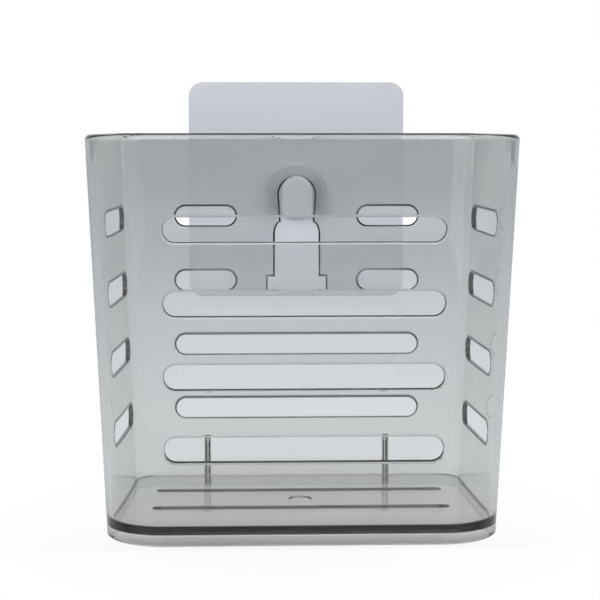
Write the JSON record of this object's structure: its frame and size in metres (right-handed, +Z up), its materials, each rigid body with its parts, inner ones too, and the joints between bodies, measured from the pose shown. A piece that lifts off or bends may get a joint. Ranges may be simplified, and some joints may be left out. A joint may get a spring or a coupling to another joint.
{
  "type": "hanging bathroom organizer",
  "caption": "Smoke-clear slotted basket with rounded corners and a keyhole back that hooks onto a square adhesive wall sheet.",
  "frame": {"origin": "centre of the square sheet's wall face, the back of its adhesive", "axes": "+Z up, +Y into the wall, +X to the right of a person facing the wall; the basket's front faces -Y"},
  "size_m": [0.1422, 0.0944, 0.1529],
  "materials": {
    "smoke_clear": "clear smoke gloss",
    "hook_white": "satin",
    "sheet_white": "satin",
    "adhesive": "tacky film"
  },
  "bodies": {
    "wall_hanger": {"adhesive_layer": "adhesive", "mounting_sheet": "sheet_white", "hook": "hook_white"},
    "basket": {"basket": "smoke_clear"}
  },
  "joints": [
    {"name": "basket_lift", "type": "slide", "parent": "wall_hanger", "child": "basket", "axis": [0, 0, 1], "range_m": [0, 0.0275]}
  ]
}
